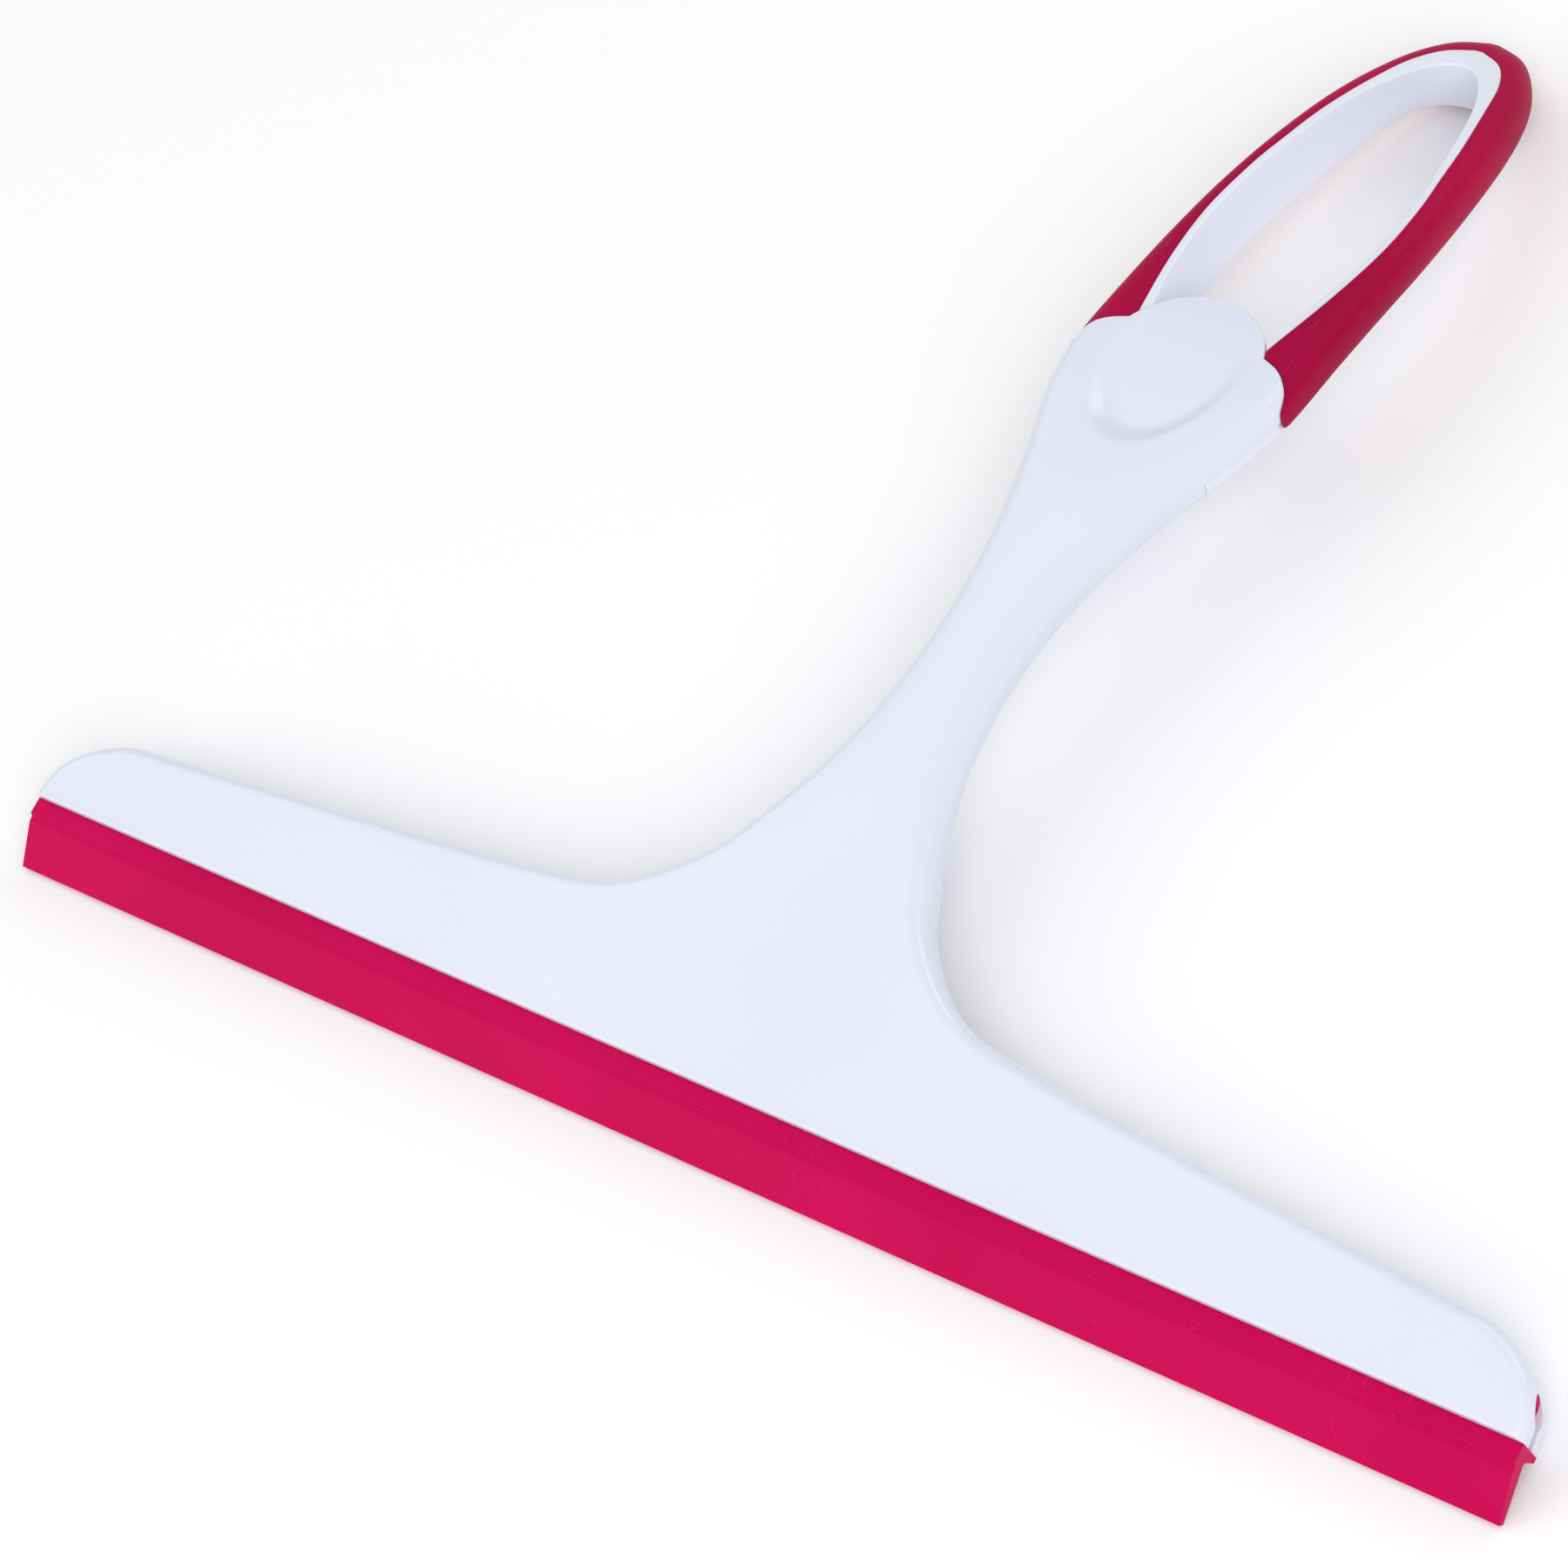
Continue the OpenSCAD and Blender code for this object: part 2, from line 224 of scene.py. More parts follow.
tongue_arc = np.stack([tongue_radius * np.cos(tip_turn), tongue_foot + tongue_radius * np.sin(tip_turn)],
                      axis=1)
tongue_arc[-1, 0] = 0
sweep_low = respaced(neck_sweep[neck_sweep[:, 1] <= 88], 74)
sweep_high = respaced(neck_sweep[neck_sweep[:, 1] >= 88], 64)
body_outline = np.vstack([corner, sweep_low[1:], sweep_high, respaced(shoulder_arc, 20)[1:], tongue_arc[1:]])
body_normals = outward(body_outline, ((half_length, -50), (-body_outline[-2, 0], body_outline[-2, 1])))
width_rows = body_outline[(body_outline[:, 1] > 20) & (body_outline[:, 1] <= shoulder_end)]


def crown(x, s, depth):
    """How far the crowned face falls from its middle line towards its sides."""
    width = np.interp(s, width_rows[:, 1], width_rows[:, 0])
    most = depth * smoothstep(22, 52, s) * (1 - 0.5 * smoothstep(80, 118, s))
    head_fall = head_crown * np.clip((s - 9) / 9, -1, 1) ** 2 * (1 - smoothstep(16, 34, s))
    return most * np.clip(x / width, 0, 1) ** 2 + head_fall


def past_shoulder(s):
    """From 0 on the neck to 1 where the shell lies over the sleeve and the loop."""
    return smoothstep(shoulder_end - 1.5, shoulder_end + 1, s)


def front_face(x, s):
    """All that the face loses to its crown, to the thumb scoop and to the shoulders' round sides."""
    inside = 1 - np.hypot(x / scoop_half, (s - scoop_middle) / scoop_run)
    dish = np.clip(scoop_depth - (s - scoop_middle + scoop_run) * scoop_slope, 0, None)
    to_side = np.clip(1 - (shoulder_x - x) / edge_round, 0, 1)
    side_fall = edge_round * (1 - np.sqrt(1 - to_side ** 2)) * past_shoulder(s)
    return crown(x, s, face_crown) + dish * smoothstep(0, scoop_soft, inside) + side_fall


def arch_tree():
    """Bends flat work to the handle's arch, tilts it and sets it down at rest."""
    tree = bpy.data.node_groups.new("handle_arch", "GeometryNodeTree")
    face = tree.interface
    face.new_socket("Geometry", in_out="INPUT", socket_type="NodeSocketGeometry")
    for name in ("Arch start", "Arch radius", "Rest tilt"):
        face.new_socket(name, in_out="INPUT", socket_type="NodeSocketFloat")
    face.new_socket("Seat", in_out="INPUT", socket_type="NodeSocketVector")
    face.new_socket("Material", in_out="INPUT", socket_type="NodeSocketMaterial")
    face.new_socket("Geometry", in_out="OUTPUT", socket_type="NodeSocketGeometry")
    add, link = tree.nodes.new, tree.links.new
    given, result = add("NodeGroupInput"), add("NodeGroupOutput")

    def math_node(operation, *values):
        node = add("ShaderNodeMath")
        node.operation = operation
        for socket, value in zip(node.inputs, values):
            if isinstance(value, (int, float)):
                socket.default_value = value
            else:
                link(value, socket)
        return node.outputs[0]

    place = add("ShaderNodeSeparateXYZ")
    link(add("GeometryNodeInputPosition").outputs[0], place.inputs[0])
    x, s, n = place.outputs
    start, radius = given.outputs["Arch start"], given.outputs["Arch radius"]
    turn = math_node("DIVIDE", math_node("MAXIMUM", math_node("SUBTRACT", s, start), 0.0), radius)
    reach = math_node("ADD", radius, n)
    swing = math_node("MULTIPLY", reach, math_node("SINE", turn))
    along = math_node("ADD", math_node("MINIMUM", s, start), swing)
    height = math_node("SUBTRACT", math_node("MULTIPLY", reach, math_node("COSINE", turn)), radius)
    bent = add("ShaderNodeCombineXYZ")
    for socket, value in zip(bent.inputs, (x, along, height)):
        link(value, socket)
    tilted = add("ShaderNodeVectorRotate")
    tilted.rotation_type = "X_AXIS"
    link(bent.outputs[0], tilted.inputs["Vector"])
    link(given.outputs["Rest tilt"], tilted.inputs["Angle"])
    seated = add("ShaderNodeVectorMath")
    link(tilted.outputs[0], seated.inputs[0])
    link(given.outputs["Seat"], seated.inputs[1])
    laid, real = add("GeometryNodeSetPosition"), add("GeometryNodeRealizeInstances")
    finish = add("GeometryNodeSetMaterial")
    link(given.outputs["Geometry"], laid.inputs["Geometry"])
    link(seated.outputs[0], laid.inputs["Position"])
    link(laid.outputs[0], real.inputs[0])
    link(real.outputs[0], finish.inputs["Geometry"])
    link(given.outputs["Material"], finish.inputs["Material"])
    link(finish.outputs[0], result.inputs[0])
    return tree


def baked(piece, tree=None, values=None):
    """Turns a piece's modifiers, and a node tree with its inputs, into its own plain mesh."""
    if tree:
        modifier = piece.modifiers.new(tree.name, "NODES")
        modifier.node_group = tree
        sockets = {s.name: s.identifier for s in tree.interface.items_tree if s.in_out == "INPUT"}
        for name, value in values.items():
            modifier[sockets[name]] = value
    graph = bpy.context.evaluated_depsgraph_get()
    mesh = bpy.data.meshes.new_from_object(piece.evaluated_get(graph))
    mesh.name = piece.name
    piece.modifiers.clear()
    piece.data = mesh
    return piece


lip_hinge = next(j for j in frame["joints"] if j["name"] == "lip_flex")["pos_m"]
seat = Vector(lip_hinge) - Matrix.Rotation(rest_tilt, 3, "X") @ Vector((0, bend_s, bend_n)) * MM
handle_arch = arch_tree()
arch_sizes = {"Arch start": arch_start * MM, "Arch radius": arch_radius * MM,
              "Rest tilt": rest_tilt, "Seat": seat}


def on_the_arch(piece, material, crease=32):
    """Bends a flat piece to the arch, gives it its material and softens its normals."""
    baked(piece, handle_arch, {**arch_sizes, "Material": material})
    piece.data.polygons.foreach_set("use_smooth", [True] * len(piece.data.polygons))
    piece.data.set_sharp_from_angle(angle=math.radians(crease))
    return piece


def shader_group(name, inputs, outputs):
    """An empty shader group with its sockets, and the two nodes at its ends."""
    group = bpy.data.node_groups.new(name, "ShaderNodeTree")
    for label, value in inputs.items():
        kind = "NodeSocketVector" if value is None else "NodeSocketFloat"
        socket = group.interface.new_socket(label, in_out="INPUT", socket_type=kind)
        if value is not None:
            socket.default_value = value
    for label in outputs:
        group.interface.new_socket(label, in_out="OUTPUT", socket_type="NodeSocketFloat")
    return group, group.nodes.new("NodeGroupInput"), group.nodes.new("NodeGroupOutput")


def noise(tree, vector, scale, detail=2.0, roughness=0.5):
    """A noise texture in a material or a group; scale is a number or a socket."""
    node = tree.nodes.new("ShaderNodeTexNoise")
    tree.links.new(vector, node.inputs["Vector"])
    if isinstance(scale, (int, float)):
        node.inputs["Scale"].default_value = scale
    else:
        tree.links.new(scale, node.inputs["Scale"])
    node.inputs["Detail"].default_value = detail
    node.inputs["Roughness"].default_value = roughness
    return node.outputs[0]


def band(tree, value, low, high, to_low=0.0, to_high=1.0):
    """Maps value from low..high to to_low..to_high, clamped."""
    node = tree.nodes.new("ShaderNodeMapRange")
    tree.links.new(value, node.inputs["Value"])
    for name, number in (("From Min", low), ("From Max", high), ("To Min", to_low), ("To Max", to_high)):
        node.inputs[name].default_value = number
    return node.outputs[0]


def stretched(tree, vector, scale, turn=0.0):
    """The vector scaled, and turned about Z, for marks that run one way."""
    node = tree.nodes.new("ShaderNodeMapping")
    tree.links.new(vector, node.inputs["Vector"])
    node.inputs["Scale"].default_value = scale
    node.inputs["Rotation"].default_value = (0, 0, turn)
    return node.outputs[0]


def combine(tree, operation, a, b):
    """One math node; each value is a number or a socket."""
    node = tree.nodes.new("ShaderNodeMath")
    node.operation = operation
    for socket, value in zip(node.inputs, (a, b)):
        if isinstance(value, (int, float)):
            socket.default_value = value
        else:
            tree.links.new(value, socket)
    return node.outputs[0]


def surface_groups():
    """The effects that the mouldings share: fine skin, handling marks and slow tone drift."""
    sockets = {"Vector": None, "Scale": 700.0, "Grain": 0.3}
    skin, given, result = shader_group("moulded_skin", sockets, ["Height"])
    waves = noise(skin, given.outputs["Vector"], given.outputs["Scale"], 1.0)
    fine_scale = combine(skin, "MULTIPLY", given.outputs["Scale"], 7.0)
    grains = noise(skin, given.outputs["Vector"], fine_scale, 3.0, 0.6)
    mixed = combine(skin, "ADD", waves, combine(skin, "MULTIPLY", grains, given.outputs["Grain"]))
    skin.links.new(mixed, result.inputs["Height"])

    sockets = {"Vector": None, "Amount": 0.5}
    marks, given, result = shader_group("handling_marks", sockets, ["Scuff", "Smudge"])
    lines = []
    for turn, seed in ((0.35, 1.0), (-1.1, 1.7), (1.9, 2.6)):
        drawn = stretched(marks, given.outputs["Vector"], (2600 * seed, 60, 900), turn)
        fine = noise(marks, drawn, 1.0, 2.0, 0.7)
        lines.append(band(marks, fine, 0.69, 0.74))
    scuff = combine(marks, "MAXIMUM", lines[0], combine(marks, "MAXIMUM", lines[1], lines[2]))
    patch = band(marks, noise(marks, given.outputs["Vector"], 38.0, 3.0), 0.45, 0.68)
    scuff = combine(marks, "MULTIPLY", combine(marks, "MULTIPLY", scuff, patch), given.outputs["Amount"])
    smudge = band(marks, noise(marks, given.outputs["Vector"], 55.0, 5.0, 0.62), 0.42, 0.7)
    marks.links.new(scuff, result.inputs["Scuff"])
    marks.links.new(combine(marks, "MULTIPLY", smudge, given.outputs["Amount"]), result.inputs["Smudge"])

    drift, given, result = shader_group("tone_drift", {"Vector": None, "Scale": 20.0}, ["Drift"])
    slow = band(drift, noise(drift, given.outputs["Vector"], given.outputs["Scale"], 2.0, 0.4), 0.3, 0.7)
    drift.links.new(slow, result.inputs["Drift"])
    return skin, marks, drift


moulded_skin, handling_marks, tone_drift = surface_groups()


def use_group(tree, group, vector, **values):
    """A shared group placed in a material with its own values."""
    node = tree.nodes.new("ShaderNodeGroup")
    node.node_tree = group
    tree.links.new(vector, node.inputs["Vector"])
    for name, value in values.items():
        node.inputs[name].default_value = value
    return node.outputs


def blend_colour(tree, share, first, second):
    """A colour between two, by a mask; each is a colour or a socket."""
    node = tree.nodes.new("ShaderNodeMix")
    node.data_type = "RGBA"
    tree.links.new(share, node.inputs["Factor"])
    for socket, colour in ((node.inputs[6], first), (node.inputs[7], second)):
        if isinstance(colour, tuple):
            socket.default_value = (*colour, 1)
        else:
            tree.links.new(colour, socket)
    return node.outputs[2]


def relief(tree, height, strength, depth, under=None):
    """A Bump node from a height, in metres, over another one's normal."""
    node = tree.nodes.new("ShaderNodeBump")
    tree.links.new(height, node.inputs["Height"])
    node.inputs["Strength"].default_value = strength
    node.inputs["Distance"].default_value = depth
    if under:
        tree.links.new(under, node.inputs["Normal"])
    return node.outputs["Normal"]


def new_material(name):
    """A material with its Principled shader and the object's own coordinates."""
    material = bpy.data.materials.new(name)
    material.use_nodes = True
    tree = material.node_tree
    where = tree.nodes.new("ShaderNodeTexCoord")
    return material, tree, tree.nodes["Principled BSDF"], where.outputs["Object"]


def white_plastic(name, colour, shade, roughness, skin_scale=520.0):
    """Glossy white polypropylene: a cool tint, faint orange peel, fine scuffs and smudges."""
    material, tree, shader, where = new_material(name)
    drift = use_group(tree, tone_drift, where, Scale=24.0)["Drift"]
    marks = use_group(tree, handling_marks, where, Amount=0.25)
    tint = blend_colour(tree, drift, colour, shade)
    worn = blend_colour(tree, combine(tree, "MULTIPLY", marks["Scuff"], 0.25), tint, (0.62, 0.63, 0.68))
    tree.links.new(worn, shader.inputs["Base Color"])
    gloss = combine(tree, "ADD", roughness, combine(tree, "MULTIPLY", marks["Smudge"], 0.10))
    gloss = combine(tree, "ADD", gloss, combine(tree, "MULTIPLY", marks["Scuff"], 0.25))
    tree.links.new(gloss, shader.inputs["Roughness"])
    height = use_group(tree, moulded_skin, where, Scale=skin_scale, Grain=0.05)["Height"]
    peel = relief(tree, height, 0.2, 0.0001)
    tree.links.new(relief(tree, marks["Scuff"], 0.2, 0.00002, peel), shader.inputs["Normal"])
    shader.inputs["IOR"].default_value = 1.49
    shader.inputs["Subsurface Weight"].default_value = 0.12
    shader.inputs["Subsurface Radius"].default_value = (1.0, 0.9, 1.0)
    shader.inputs["Subsurface Scale"].default_value = 0.0015
    return material


def at_channel(s):
    """From 1 beside the channel to 0 above it."""
    return 1 - smoothstep(5, 11, s)


shell_white = white_plastic("shell_white_plastic", (0.72, 0.735, 0.83), (0.69, 0.705, 0.81), 0.24)

# Sides are well rounded. The shoulders and the tongue are crisp where they meet the sleeve, and the
# head's ends are rounded less, which leaves a wall round the channel.
rounding = edge_round + (tongue_round - edge_round) * past_shoulder(body_outline[:, 1])
rounding -= (edge_round - end_round) * at_channel(body_outline[:, 1])
front_shell = moulded_half("front_shell_moulding", body_outline, body_normals, face_depth, rounding,
                           jaw_round, front_face, channel, 1, True)
on_the_arch(front_shell, shell_white)
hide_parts("front_shell")
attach(front_shell, "handle")


# ----------------------------------------------------------------- rear cover
# The back half of the body, in the same white plastic. It is pressed onto the
# front shell's pins, sits a little inside its outline and ends at the loop's foot.

cover_inset, cover_end = 0.3, 104.0
back_depth, back_round, back_jaw, back_crown = 4.2, 2.2, 0.6, 1.1


def set_in(gap, low, high):
    """The body's half outline moved inwards by gap, between two heights up the handle."""
    lower = np.clip(body_outline[:, 1:] / 4, 0, 1)
    moved = body_outline - body_normals * gap * np.hstack([np.ones_like(lower), lower])
    moved = moved[moved[:, 0] >= 0]
    level = moved[(moved[:, 1] > low + 0.02) & (moved[:, 1] < high - 0.02)]
    ends = [[np.interp(at, moved[:, 1], moved[:, 0]), at] for at in (low, high)]
    return np.vstack([ends[0], level, ends[1]])


cover_outline = set_in(cover_inset, 0, cover_end)
cover_before, cover_after = (cover_outline[0, 0], -50), (cover_outline[-1, 0] + 2, cover_end + 9)
cover_normals = outward(cover_outline, (cover_before, cover_after))
cover_rounding = back_round - (back_round - end_round) * at_channel(cover_outline[:, 1])
rear_cover = moulded_half("rear_cover_moulding", cover_outline, cover_normals, back_depth, cover_rounding,
                          back_jaw, lambda x, s: crown(x, s, back_crown), channel, -1, False)
on_the_arch(rear_cover, shell_white)
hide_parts("rear_cover")
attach(rear_cover, "handle")


# ------------------------------------------------------------------ loop core
# The white loop that carries the hand hole. Its foot is trapped between the two
# shells and its rim stands proud inside the soft sleeve that is moulded onto it.

loop_depth, tip_rise = 3.8, 0.9
plate_start = cover_end + 0.1
foot_round, foot_crown, foot_across = 1.8, 0.9, 12
side_half = shoulder_half - 3.1
hole_middle = 9.9
core_side = smooth_line([
    (8.6, 112), (9, 119), (10.3, 125), (12.7, 137), (side_half - 0.3, 148), (side_half - 0.6, 158),
    (12.7, 165), (11.5, 173), (9.4, 182.3), (7.5, 188.8), (4.6, 193.4), (0.6, 195.6)])
hole_back = smooth_line([
    (0.5, 125.5), (5.4, 126.6), (8.6, 132), (hole_middle - 0.2, 141), (hole_middle, 150),
    (hole_middle - 0.2, 161), (9, 175), (8, 185.5), (6.5, 190.6), (3.6, 192.9), (0.5, 193.4)])
hole_front = smooth_line([
    (0.5, 122.8), (6, 123.6), (9.3, 127.5), (11.7, 138), (side_half - 1.4, 148), (side_half - 1.8, 158),
    (11.5, 165), (10.2, 172), (8.9, 177.4), (7.5, 181.8), (5.6, 186), (3, 189.6), (0.5, 191)])
branch_start = 2 * curve_steps
rim_round, rim_bevel = 0.45, 0.15
back_spread, back_proud = 1.1, 0.05
cut_reach = 9.0


def at_loop_tip(s):
    """From 0 along the straight of the loop to 1 at its tip."""
    return smoothstep(150, 182, s)


def loop_front(s):
    """Height of the loop's face, which thickens towards its tip."""
    return loop_depth + tip_rise * at_loop_tip(s)


def loop_half(line, split, low=14, high=96):
    """A half outline respaced in two runs, so that three of them can be joined point to point."""
    return np.vstack([respaced(line[:split + 1], low), respaced(line[split:], high)[1:]])


def both_sides(half):
    """A half outline and its mirror image, as one closed loop."""
    return np.vstack([half, half[::-1] * (-1, 1)])


def stacked_loops(name, loops, closed=True):
    """Joins closed loops of (points, depth) in turn; closed also joins the last to the first."""
    count = len(loops[0][0])
    points = np.vstack([np.column_stack([line, np.broadcast_to(depth, count)]) for line, depth in loops])
    faces = []
    last = len(loops) if closed else len(loops) - 1
    for k in range(last):
        a, b = k * count, (k + 1) % len(loops) * count
        faces += [(a + i, a + (i + 1) % count, b + (i + 1) % count, b + i) for i in range(count)]
    if not closed:
        faces += [tuple(range(count)), tuple(range(last * count, (last + 1) * count))]
    return new_mesh(name, points, faces)


def merged(piece, other, operation):
    """Adds other to piece, or cuts it away, and drops other."""
    cut = piece.modifiers.new("join", "BOOLEAN")
    cut.object, cut.operation, cut.solver = other, operation, "EXACT"
    baked(piece)
    bpy.data.objects.remove(other)
    return piece


core_loop = both_sides(np.vstack([respaced(np.array([(0.5, 112.0), (8.6, 112.0)]), 7)[:-1],
                                  loop_half(core_side, branch_start, 8)]))
back_loop = both_sides(loop_half(hole_back, branch_start))
front_loop = both_sides(loop_half(hole_front, branch_start))
assert len(core_loop) == len(back_loop) == len(front_loop)
wall = front_loop - back_loop
rim = core_loop - front_loop
rim_length = np.linalg.norm(rim, axis=1)[:, None]
rim_way = rim / rim_length
corner_turn = np.linspace(0, math.pi / 2, 6)
through = 2 * loop_depth
core_face = loop_front(core_loop[:, 1])
core_back = core_loop + rim_way * back_spread * at_loop_tip(core_loop[:, 1:])
rounds = [(rim_round * (1 - math.sin(a)), rim_round * (1 - math.cos(a))) for a in corner_turn]
core_loops = [(core_back, -loop_depth - back_proud), (core_loop, core_face - rim_bevel),
              (core_loop - rim_way * rim_bevel, core_face)]
core_loops += [(front_loop + rim_way * out - wall * down / through, core_face - down) for out, down in rounds]
core_loops += [(back_loop + wall * k, -loop_depth + (loop_depth + core_face) * k)
               for k in (0.8, 0.6, 0.4, 0.22)]
core_loops += [(back_loop + wall * up / through + rim_way * out, -loop_depth - back_proud + up)
               for up, out in rounds]
loop_core = stacked_loops("loop_core_moulding", core_loops)

foot_side = set_in(cover_inset, plate_start, 124.6)
foot_normals = outward(foot_side, ((foot_side[0, 0] - 2, plate_start - 9), (foot_side[-1, 0] - 3, 125)))
foot = moulded_half("loop_foot", foot_side, foot_normals, loop_depth, foot_round, 0,
                    lambda x, s: crown(x, s, foot_crown), lambda s: 0 * s + 0.1, -1, False, foot_across)
low_hole = stacked_loops("hole_cutter", [(back_loop - wall * 0.4, -loop_depth * 1.8),
                                         (front_loop + wall * 0.2, loop_depth * 1.4)], closed=False)
merged(foot, low_hole, "DIFFERENCE")
merged(loop_core, foot, "UNION")
over_loop = body_outline[:, 1] > 99
shell_gap = 0.1
above = body_outline[over_loop] + body_normals[over_loop] * shell_gap
above[-1, 0] = 0
tongue_gap = np.vstack([above, above[-2::-1] * (-1, 1)])
tongue_room = [(tongue_gap, -shell_gap), (tongue_gap, cut_reach)]
merged(loop_core, stacked_loops("tongue_cutter", tongue_room, closed=False), "DIFFERENCE")

core_white = white_plastic("loop_white_plastic", (0.76, 0.77, 0.855), (0.72, 0.73, 0.83), 0.28, 640.0)
on_the_arch(loop_core, core_white, 28)
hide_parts("loop_core")
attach(loop_core, "handle")


# ---------------------------------------------------------------- grip sleeve
# Soft rose rubber moulded over the outside of the loop, from one shoulder round
# the tip to the other. Its section is flat against the core and round outside.

sleeve_side = smooth_line([
    (15.3, 109), (shoulder_half - 0.2, 118.5), (shoulder_half, 132), (shoulder_half - 0.1, 146), (16.6, 159),
    (15.3, 172), (13.1, 184), (9.9, 193.3), (5.6, 199.3), (0.6, 201.5)])
sleeve_points = 104
sleeve_outer = respaced(sleeve_side, sleeve_points)
sleeve_inner = respaced(core_side, sleeve_points)
section_turn = np.linspace(0, math.pi / 2, 14)
sleeve_flat = 0.08
full_at_base, full_change = 3.4, 1.1


def sleeve_section(fullness):
    """Shares across the wall and of its depth: flat against the core, round outside."""
    power = 2 / fullness
    face = [(0.0, 0.96), (0.015, 1.0)]
    face += [(sleeve_flat + (1 - sleeve_flat) * math.sin(a) ** power, max(0.0, math.cos(a)) ** power)
             for a in section_turn]
    return [(u, -n) for u, n in face] + face[-2::-1]


def open_sweep(name, stations):
    """A closed section carried through stations, each an array of points, with its ends capped."""
    count = len(stations[0])
    faces = []
    for k in range(len(stations) - 1):
        a, b = k * count, (k + 1) * count
        faces += [(a + i, a + (i + 1) % count, b + (i + 1) % count, b + i) for i in range(count)]
    last = (len(stations) - 1) * count
    faces += [tuple(range(count)), tuple(range(last, last + count))]
    return new_mesh(name, np.vstack(stations), faces)


sleeve_stations = []
for k, (inner, outer) in enumerate(zip(sleeve_inner, sleeve_outer)):
    section = sleeve_section(full_at_base - full_change * smoothstep(0.05, 0.4, k / sleeve_points))
    face = loop_front(inner[1])
    sleeve_stations.append(np.array([(*(inner + (outer - inner) * u), n * (face if n > 0 else loop_depth))
                                     for u, n in section]))
sleeve_stations += [half * (-1, 1, 1) for half in sleeve_stations[::-1]]
grip_sleeve = open_sweep("grip_sleeve_moulding", sleeve_stations)
shoulder_cut = [(tongue_gap, -cut_reach), (tongue_gap, cut_reach)]
merged(grip_sleeve, stacked_loops("shoulder_cutter", shoulder_cut, closed=False), "DIFFERENCE")


def rose_rubber(name, colour, shade, roughness, grain_scale, lines):
    """Soft rose rubber: fine grain, slow tone drift and, on extruded work, lines along x."""
    material, tree, shader, where = new_material(name)
    drift = use_group(tree, tone_drift, where, Scale=30.0)["Drift"]
    marks = use_group(tree, handling_marks, where, Amount=0.7)
    tint = blend_colour(tree, drift, colour, shade)
    normal = None
    if lines:
        fine = noise(tree, stretched(tree, where, (9, 2600, 2600)), 1.0, 3.0, 0.6)
        tint = blend_colour(tree, band(tree, fine, 0.35, 0.8, 0.0, 0.3), tint, shade)
        normal = relief(tree, fine, 0.25, 0.00006)
    pale = tuple(0.6 * c + 0.1 for c in colour)
    tree.links.new(blend_colour(tree, combine(tree, "MULTIPLY", marks["Scuff"], 0.5), tint, pale),
                   shader.inputs["Base Color"])
    gloss = combine(tree, "ADD", roughness, combine(tree, "MULTIPLY", marks["Smudge"], 0.12))
    tree.links.new(gloss, shader.inputs["Roughness"])
    height = use_group(tree, moulded_skin, where, Scale=grain_scale, Grain=0.6)["Height"]
    tree.links.new(relief(tree, height, 0.3, 0.00005, normal), shader.inputs["Normal"])
    shader.inputs["IOR"].default_value = 1.5
    shader.inputs["Specular IOR Level"].default_value = 0.06
    return material


sleeve_rose = rose_rubber("sleeve_rose_rubber", (0.42, 0.0004, 0.055), (0.32, 0.0002, 0.04), 0.45,
                          1500.0, False)
on_the_arch(grip_sleeve, sleeve_rose, 35)
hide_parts("grip_sleeve")
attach(grip_sleeve, "handle")


# ---------------------------------------------------------------------- blade
# One extruded strip of rose rubber. Its round bead slides in the head's channel,
# its shoulder seats under the jaws, and its tapered lip leans back and bends.

bead_round, web_half = 2.0, 0.9
shoulder_face, touch = 2.6, 0.02
bead_half = half_length - 2.2
longest_face, blade_stations, bend_blend = 0.35, 49, 2.5
lip_lean, lip_length = math.radians(27), 7.2
lip_root, lip_edge = 2.4, 1.0
lip_way = np.array([-math.cos(lip_lean), -math.sin(lip_lean)])
lip_up = np.array([-math.sin(lip_lean), math.cos(lip_lean)])
lip_bend = np.array([bend_s, bend_n])
wiping_edge = lip_bend + lip_way * lip_length


def filleted(corners, steps=5):
    """A closed section from (point, radius) corners, with each corner rounded."""
    out = []
    for i, (point, radius) in enumerate(corners):
        point = np.array(point, float)
        to_last = np.array(corners[i - 1][0], float) - point
        to_next = np.array(corners[(i + 1) % len(corners)][0], float) - point
        to_last, to_next = to_last / np.linalg.norm(to_last), to_next / np.linalg.norm(to_next)
        half = math.acos(float(np.clip(to_last @ to_next, -1, 1))) / 2
        if radius == 0 or abs(math.pi / 2 - half) < 0.02:
            out.append(point)
            continue
        run = radius / math.tan(half)
        start, stop = point + to_last * run, point + to_next * run
        for t in np.linspace(0, 1, steps):
            out.append((1 - t) ** 2 * start + 2 * t * (1 - t) * point + t * t * stop)
    return np.array(out)


def split_long(section, most):
    """The same closed section with no stretch longer than most."""
    out = []
    for a, b in zip(section, np.roll(section, -1, axis=0)):
        count = max(1, math.ceil(np.linalg.norm(b - a) / most))
        out += [a + (b - a) * k / count for k in range(count)]
    return np.array(out)


